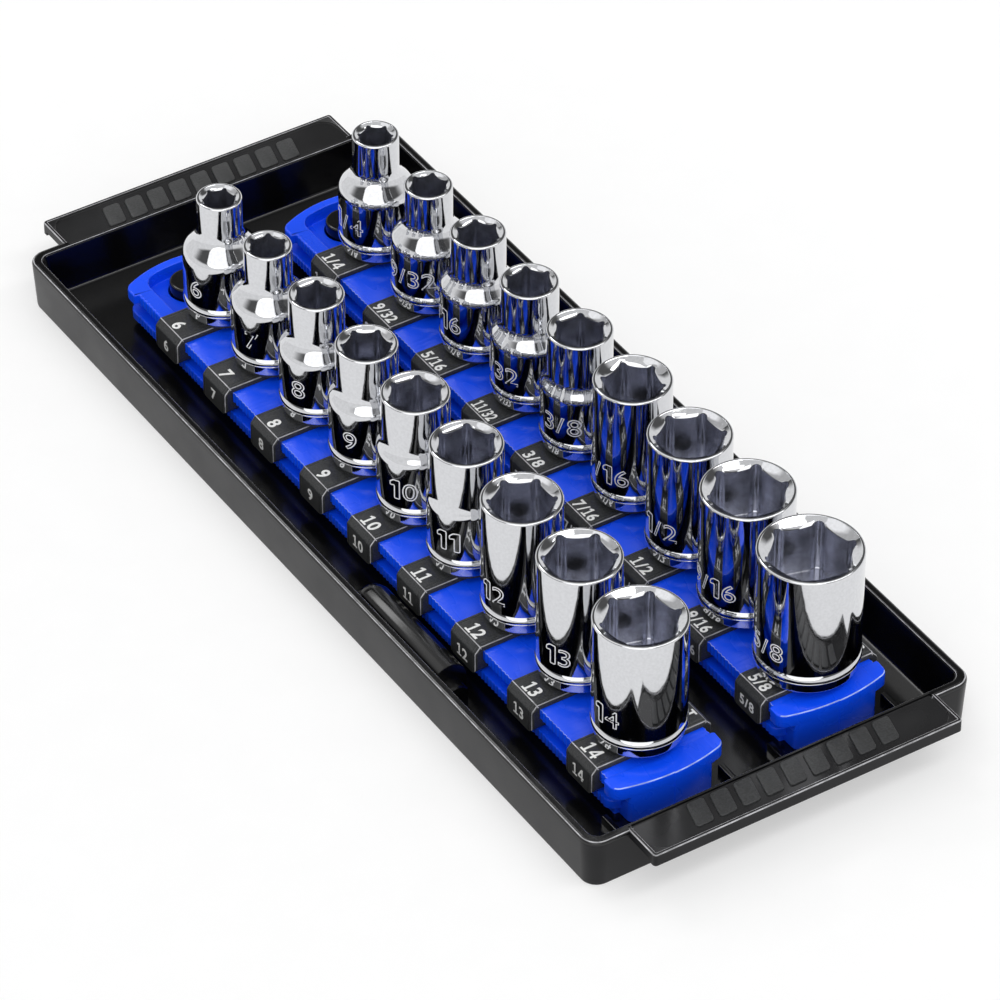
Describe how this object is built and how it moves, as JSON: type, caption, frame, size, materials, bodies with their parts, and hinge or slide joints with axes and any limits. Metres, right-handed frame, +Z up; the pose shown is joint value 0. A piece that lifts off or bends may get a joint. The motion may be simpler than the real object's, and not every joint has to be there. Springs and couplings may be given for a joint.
{
  "type": "socket rail tray",
  "caption": "Shallow moulded tray with two parallel rails; sliding clips on the rails carry turning square posts, and each post holds an upright hex socket that pulls off",
  "frame": {"origin": "centre of the tray's flat underside, on the resting plane", "axes": "+Y along the rails toward the smallest sockets, +X from the metric row toward the inch row, +Z up"},
  "size_m": [0.093, 0.244, 0.0433],
  "materials": {
    "tray_black": "moulded, glossy near-black",
    "lock_black": "moulded, glossy black",
    "rail_blue": "moulded, satin-gloss bright blue",
    "clip_black": null,
    "post_black": "moulded, matte black",
    "socket_chrome": "polished chrome plate, satin inside the hexagon"
  },
  "bodies": {
    "tray_body": {"tray": "tray_black", "rail_lock_metric": "lock_black", "rail_lock_inch": "lock_black"},
    "rail_metric_body": {"rail_metric": "rail_blue"},
    "rail_inch_body": {"rail_inch": "rail_blue"},
    "clip_mm_6_body": {"clip_mm_6": "clip_black"},
    "post_mm_6_body": {"post_mm_6": "post_black"},
    "socket_mm_6_body": {"socket_mm_6": "socket_chrome"},
    "clip_mm_7_body": {"clip_mm_7": "clip_black"},
    "post_mm_7_body": {"post_mm_7": "post_black"},
    "socket_mm_7_body": {"socket_mm_7": "socket_chrome"},
    "clip_mm_8_body": {"clip_mm_8": "clip_black"},
    "post_mm_8_body": {"post_mm_8": "post_black"},
    "socket_mm_8_body": {"socket_mm_8": "socket_chrome"},
    "clip_mm_9_body": {"clip_mm_9": "clip_black"},
    "post_mm_9_body": {"post_mm_9": "post_black"},
    "socket_mm_9_body": {"socket_mm_9": "socket_chrome"},
    "clip_mm_10_body": {"clip_mm_10": "clip_black"},
    "post_mm_10_body": {"post_mm_10": "post_black"},
    "socket_mm_10_body": {"socket_mm_10": "socket_chrome"},
    "clip_mm_11_body": {"clip_mm_11": "clip_black"},
    "post_mm_11_body": {"post_mm_11": "post_black"},
    "socket_mm_11_body": {"socket_mm_11": "socket_chrome"},
    "clip_mm_12_body": {"clip_mm_12": "clip_black"},
    "post_mm_12_body": {"post_mm_12": "post_black"},
    "socket_mm_12_body": {"socket_mm_12": "socket_chrome"},
    "clip_mm_13_body": {"clip_mm_13": "clip_black"},
    "post_mm_13_body": {"post_mm_13": "post_black"},
    "socket_mm_13_body": {"socket_mm_13": "socket_chrome"},
    "clip_mm_14_body": {"clip_mm_14": "clip_black"},
    "post_mm_14_body": {"post_mm_14": "post_black"},
    "socket_mm_14_body": {"socket_mm_14": "socket_chrome"},
    "clip_in_1_4_body": {"clip_in_1_4": "clip_black"},
    "post_in_1_4_body": {"post_in_1_4": "post_black"},
    "socket_in_1_4_body": {"socket_in_1_4": "socket_chrome"},
    "clip_in_9_32_body": {"clip_in_9_32": "clip_black"},
    "post_in_9_32_body": {"post_in_9_32": "post_black"},
    "socket_in_9_32_body": {"socket_in_9_32": "socket_chrome"},
    "clip_in_5_16_body": {"clip_in_5_16": "clip_black"},
    "post_in_5_16_body": {"post_in_5_16": "post_black"},
    "socket_in_5_16_body": {"socket_in_5_16": "socket_chrome"},
    "clip_in_11_32_body": {"clip_in_11_32": "clip_black"},
    "post_in_11_32_body": {"post_in_11_32": "post_black"},
    "socket_in_11_32_body": {"socket_in_11_32": "socket_chrome"},
    "clip_in_3_8_body": {"clip_in_3_8": "clip_black"},
    "post_in_3_8_body": {"post_in_3_8": "post_black"},
    "socket_in_3_8_body": {"socket_in_3_8": "socket_chrome"},
    "clip_in_7_16_body": {"clip_in_7_16": "clip_black"},
    "post_in_7_16_body": {"post_in_7_16": "post_black"},
    "socket_in_7_16_body": {"socket_in_7_16": "socket_chrome"},
    "clip_in_1_2_body": {"clip_in_1_2": "clip_black"},
    "post_in_1_2_body": {"post_in_1_2": "post_black"},
    "socket_in_1_2_body": {"socket_in_1_2": "socket_chrome"},
    "clip_in_9_16_body": {"clip_in_9_16": "clip_black"},
    "post_in_9_16_body": {"post_in_9_16": "post_black"},
    "socket_in_9_16_body": {"socket_in_9_16": "socket_chrome"},
    "clip_in_5_8_body": {"clip_in_5_8": "clip_black"},
    "post_in_5_8_body": {"post_in_5_8": "post_black"},
    "socket_in_5_8_body": {"socket_in_5_8": "socket_chrome"}
  },
  "joints": [
    {"name": "rail_metric_lift", "type": "slide", "parent": "tray_body", "child": "rail_metric_body", "axis": [0, 0, 1], "range_m": [0, 0.04]},
    {"name": "rail_inch_lift", "type": "slide", "parent": "tray_body", "child": "rail_inch_body", "axis": [0, 0, 1], "range_m": [0, 0.04]},
    {"name": "clip_mm_6_slide", "type": "slide", "parent": "rail_metric_body", "child": "clip_mm_6_body", "axis": [0, 1, 0], "range_m": [-0.00141, 0.01039]},
    {"name": "post_mm_6_turn", "type": "hinge", "parent": "clip_mm_6_body", "child": "post_mm_6_body", "pos_m": [-0.02, 0.07265, 0.01305], "axis": [0, 0, 1], "range_deg": [0, 90]},
    {"name": "socket_mm_6_pull_off", "type": "slide", "parent": "post_mm_6_body", "child": "socket_mm_6_body", "axis": [0, 0, 1], "range_m": [0, 0.03]},
    {"name": "clip_mm_7_slide", "type": "slide", "parent": "rail_metric_body", "child": "clip_mm_7_body", "axis": [0, 1, 0], "range_m": [-0.00127, 0.00141]},
    {"name": "post_mm_7_turn", "type": "hinge", "parent": "clip_mm_7_body", "child": "post_mm_7_body", "pos_m": [-0.02, 0.05251, 0.01305], "axis": [0, 0, 1], "range_deg": [0, 90]},
    {"name": "socket_mm_7_pull_off", "type": "slide", "parent": "post_mm_7_body", "child": "socket_mm_7_body", "axis": [0, 0, 1], "range_m": [0, 0.03]},
    {"name": "clip_mm_8_slide", "type": "slide", "parent": "rail_metric_body", "child": "clip_mm_8_body", "axis": [0, 1, 0], "range_m": [-0.00137, 0.00127]},
    {"name": "post_mm_8_turn", "type": "hinge", "parent": "clip_mm_8_body", "child": "post_mm_8_body", "pos_m": [-0.02, 0.03264, 0.01305], "axis": [0, 0, 1], "range_deg": [0, 90]},
    {"name": "socket_mm_8_pull_off", "type": "slide", "parent": "post_mm_8_body", "child": "socket_mm_8_body", "axis": [0, 0, 1], "range_m": [0, 0.03]},
    {"name": "clip_mm_9_slide", "type": "slide", "parent": "rail_metric_body", "child": "clip_mm_9_body", "axis": [0, 1, 0], "range_m": [-0.00091, 0.00137]},
    {"name": "post_mm_9_turn", "type": "hinge", "parent": "clip_mm_9_body", "child": "post_mm_9_body", "pos_m": [-0.02, 0.01256, 0.01305], "axis": [0, 0, 1], "range_deg": [0, 90]},
    {"name": "socket_mm_9_pull_off", "type": "slide", "parent": "post_mm_9_body", "child": "socket_mm_9_body", "axis": [0, 0, 1], "range_m": [0, 0.03]},
    {"name": "clip_mm_10_slide", "type": "slide", "parent": "rail_metric_body", "child": "clip_mm_10_body", "axis": [0, 1, 0], "range_m": [-0.00117, 0.00091]},
    {"name": "post_mm_10_turn", "type": "hinge", "parent": "clip_mm_10_body", "child": "post_mm_10_body", "pos_m": [-0.02, -0.00659, 0.01305], "axis": [0, 0, 1], "range_deg": [0, 90]},
    {"name": "socket_mm_10_pull_off", "type": "slide", "parent": "post_mm_10_body", "child": "socket_mm_10_body", "axis": [0, 0, 1], "range_m": [0, 0.03]},
    {"name": "clip_mm_11_slide", "type": "slide", "parent": "rail_metric_body", "child": "clip_mm_11_body", "axis": [0, 1, 0], "range_m": [-0.00172, 0.00117]},
    {"name": "post_mm_11_turn", "type": "hinge", "parent": "clip_mm_11_body", "child": "post_mm_11_body", "pos_m": [-0.02, -0.02625, 0.01305], "axis": [0, 0, 1], "range_deg": [0, 90]},
    {"name": "socket_mm_11_pull_off", "type": "slide", "parent": "post_mm_11_body", "child": "socket_mm_11_body", "axis": [0, 0, 1], "range_m": [0, 0.03]},
    {"name": "clip_mm_12_slide", "type": "slide", "parent": "rail_metric_body", "child": "clip_mm_12_body", "axis": [0, 1, 0], "range_m": [-0.00165, 0.00172]},
    {"name": "post_mm_12_turn", "type": "hinge", "parent": "clip_mm_12_body", "child": "post_mm_12_body", "pos_m": [-0.02, -0.04718, 0.01305], "axis": [0, 0, 1], "range_deg": [0, 90]},
    {"name": "socket_mm_12_pull_off", "type": "slide", "parent": "post_mm_12_body", "child": "socket_mm_12_body", "axis": [0, 0, 1], "range_m": [0, 0.03]},
    {"name": "clip_mm_13_slide", "type": "slide", "parent": "rail_metric_body", "child": "clip_mm_13_body", "axis": [0, 1, 0], "range_m": [-0.00137, 0.00165]},
    {"name": "post_mm_13_turn", "type": "hinge", "parent": "clip_mm_13_body", "child": "post_mm_13_body", "pos_m": [-0.02, -0.06846, 0.01305], "axis": [0, 0, 1], "range_deg": [0, 90]},
    {"name": "socket_mm_13_pull_off", "type": "slide", "parent": "post_mm_13_body", "child": "socket_mm_13_body", "axis": [0, 0, 1], "range_m": [0, 0.03]},
    {"name": "clip_mm_14_slide", "type": "slide", "parent": "rail_metric_body", "child": "clip_mm_14_body", "axis": [0, 1, 0], "range_m": [-0.00219, 0.00137]},
    {"name": "post_mm_14_turn", "type": "hinge", "parent": "clip_mm_14_body", "child": "post_mm_14_body", "pos_m": [-0.02, -0.09045, 0.01305], "axis": [0, 0, 1], "range_deg": [0, 90]},
    {"name": "socket_mm_14_pull_off", "type": "slide", "parent": "post_mm_14_body", "child": "socket_mm_14_body", "axis": [0, 0, 1], "range_m": [0, 0.03]},
    {"name": "clip_in_1_4_slide", "type": "slide", "parent": "rail_inch_body", "child": "clip_in_1_4_body", "axis": [0, 1, 0], "range_m": [-0.00214, 0.00929]},
    {"name": "post_in_1_4_turn", "type": "hinge", "parent": "clip_in_1_4_body", "child": "post_in_1_4_body", "pos_m": [0.02, 0.07375, 0.01305], "axis": [0, 0, 1], "range_deg": [0, 90]},
    {"name": "socket_in_1_4_pull_off", "type": "slide", "parent": "post_in_1_4_body", "child": "socket_in_1_4_body", "axis": [0, 0, 1], "range_m": [0, 0.03]},
    {"name": "clip_in_9_32_slide", "type": "slide", "parent": "rail_inch_body", "child": "clip_in_9_32_body", "axis": [0, 1, 0], "range_m": [-0.00127, 0.00214]},
    {"name": "post_in_9_32_turn", "type": "hinge", "parent": "clip_in_9_32_body", "child": "post_in_9_32_body", "pos_m": [0.02, 0.05214, 0.01305], "axis": [0, 0, 1], "range_deg": [0, 90]},
    {"name": "socket_in_9_32_pull_off", "type": "slide", "parent": "post_in_9_32_body", "child": "socket_in_9_32_body", "axis": [0, 0, 1], "range_m": [0, 0.03]},
    {"name": "clip_in_5_16_slide", "type": "slide", "parent": "rail_inch_body", "child": "clip_in_5_16_body", "axis": [0, 1, 0], "range_m": [-0.00143, 0.00127]},
    {"name": "post_in_5_16_turn", "type": "hinge", "parent": "clip_in_5_16_body", "child": "post_in_5_16_body", "pos_m": [0.02, 0.03227, 0.01305], "axis": [0, 0, 1], "range_deg": [0, 90]},
    {"name": "socket_in_5_16_pull_off", "type": "slide", "parent": "post_in_5_16_body", "child": "socket_in_5_16_body", "axis": [0, 0, 1], "range_m": [0, 0.03]},
    {"name": "clip_in_11_32_slide", "type": "slide", "parent": "rail_inch_body", "child": "clip_in_11_32_body", "axis": [0, 1, 0], "range_m": [-0.00099, 0.00143]},
    {"name": "post_in_11_32_turn", "type": "hinge", "parent": "clip_in_11_32_body", "child": "post_in_11_32_body", "pos_m": [0.02, 0.01207, 0.01305], "axis": [0, 0, 1], "range_deg": [0, 90]},
    {"name": "socket_in_11_32_pull_off", "type": "slide", "parent": "post_in_11_32_body", "child": "socket_in_11_32_body", "axis": [0, 0, 1], "range_m": [0, 0.03]},
    {"name": "clip_in_3_8_slide", "type": "slide", "parent": "rail_inch_body", "child": "clip_in_3_8_body", "axis": [0, 1, 0], "range_m": [-0.00131, 0.00099]},
    {"name": "post_in_3_8_turn", "type": "hinge", "parent": "clip_in_3_8_body", "child": "post_in_3_8_body", "pos_m": [0.02, -0.00723, 0.01305], "axis": [0, 0, 1], "range_deg": [0, 90]},
    {"name": "socket_in_3_8_pull_off", "type": "slide", "parent": "post_in_3_8_body", "child": "socket_in_3_8_body", "axis": [0, 0, 1], "range_m": [0, 0.03]},
    {"name": "clip_in_7_16_slide", "type": "slide", "parent": "rail_inch_body", "child": "clip_in_7_16_body", "axis": [0, 1, 0], "range_m": [-0.00163, 0.00131]},
    {"name": "post_in_7_16_turn", "type": "hinge", "parent": "clip_in_7_16_body", "child": "post_in_7_16_body", "pos_m": [0.02, -0.02721, 0.01305], "axis": [0, 0, 1], "range_deg": [0, 90]},
    {"name": "socket_in_7_16_pull_off", "type": "slide", "parent": "post_in_7_16_body", "child": "socket_in_7_16_body", "axis": [0, 0, 1], "range_m": [0, 0.03]},
    {"name": "clip_in_1_2_slide", "type": "slide", "parent": "rail_inch_body", "child": "clip_in_1_2_body", "axis": [0, 1, 0], "range_m": [-0.00076, 0.00163]},
    {"name": "post_in_1_2_turn", "type": "hinge", "parent": "clip_in_1_2_body", "child": "post_in_1_2_body", "pos_m": [0.02, -0.04839, 0.01305], "axis": [0, 0, 1], "range_deg": [0, 90]},
    {"name": "socket_in_1_2_pull_off", "type": "slide", "parent": "post_in_1_2_body", "child": "socket_in_1_2_body", "axis": [0, 0, 1], "range_m": [0, 0.03]},
    {"name": "clip_in_9_16_slide", "type": "slide", "parent": "rail_inch_body", "child": "clip_in_9_16_body", "axis": [0, 1, 0], "range_m": [-0.00031, 0.00076]},
    {"name": "post_in_9_16_turn", "type": "hinge", "parent": "clip_in_9_16_body", "child": "post_in_9_16_body", "pos_m": [0.02, -0.06936, 0.01305], "axis": [0, 0, 1], "range_deg": [0, 90]},
    {"name": "socket_in_9_16_pull_off", "type": "slide", "parent": "post_in_9_16_body", "child": "socket_in_9_16_body", "axis": [0, 0, 1], "range_m": [0, 0.03]},
    {"name": "clip_in_5_8_slide", "type": "slide", "parent": "rail_inch_body", "child": "clip_in_5_8_body", "axis": [0, 1, 0], "range_m": [-0.0011, 0.00031]},
    {"name": "post_in_5_8_turn", "type": "hinge", "parent": "clip_in_5_8_body", "child": "post_in_5_8_body", "pos_m": [0.02, -0.09155, 0.01305], "axis": [0, 0, 1], "range_deg": [0, 90]},
    {"name": "socket_in_5_8_pull_off", "type": "slide", "parent": "post_in_5_8_body", "child": "socket_in_5_8_body", "axis": [0, 0, 1], "range_m": [0, 0.03]}
  ]
}
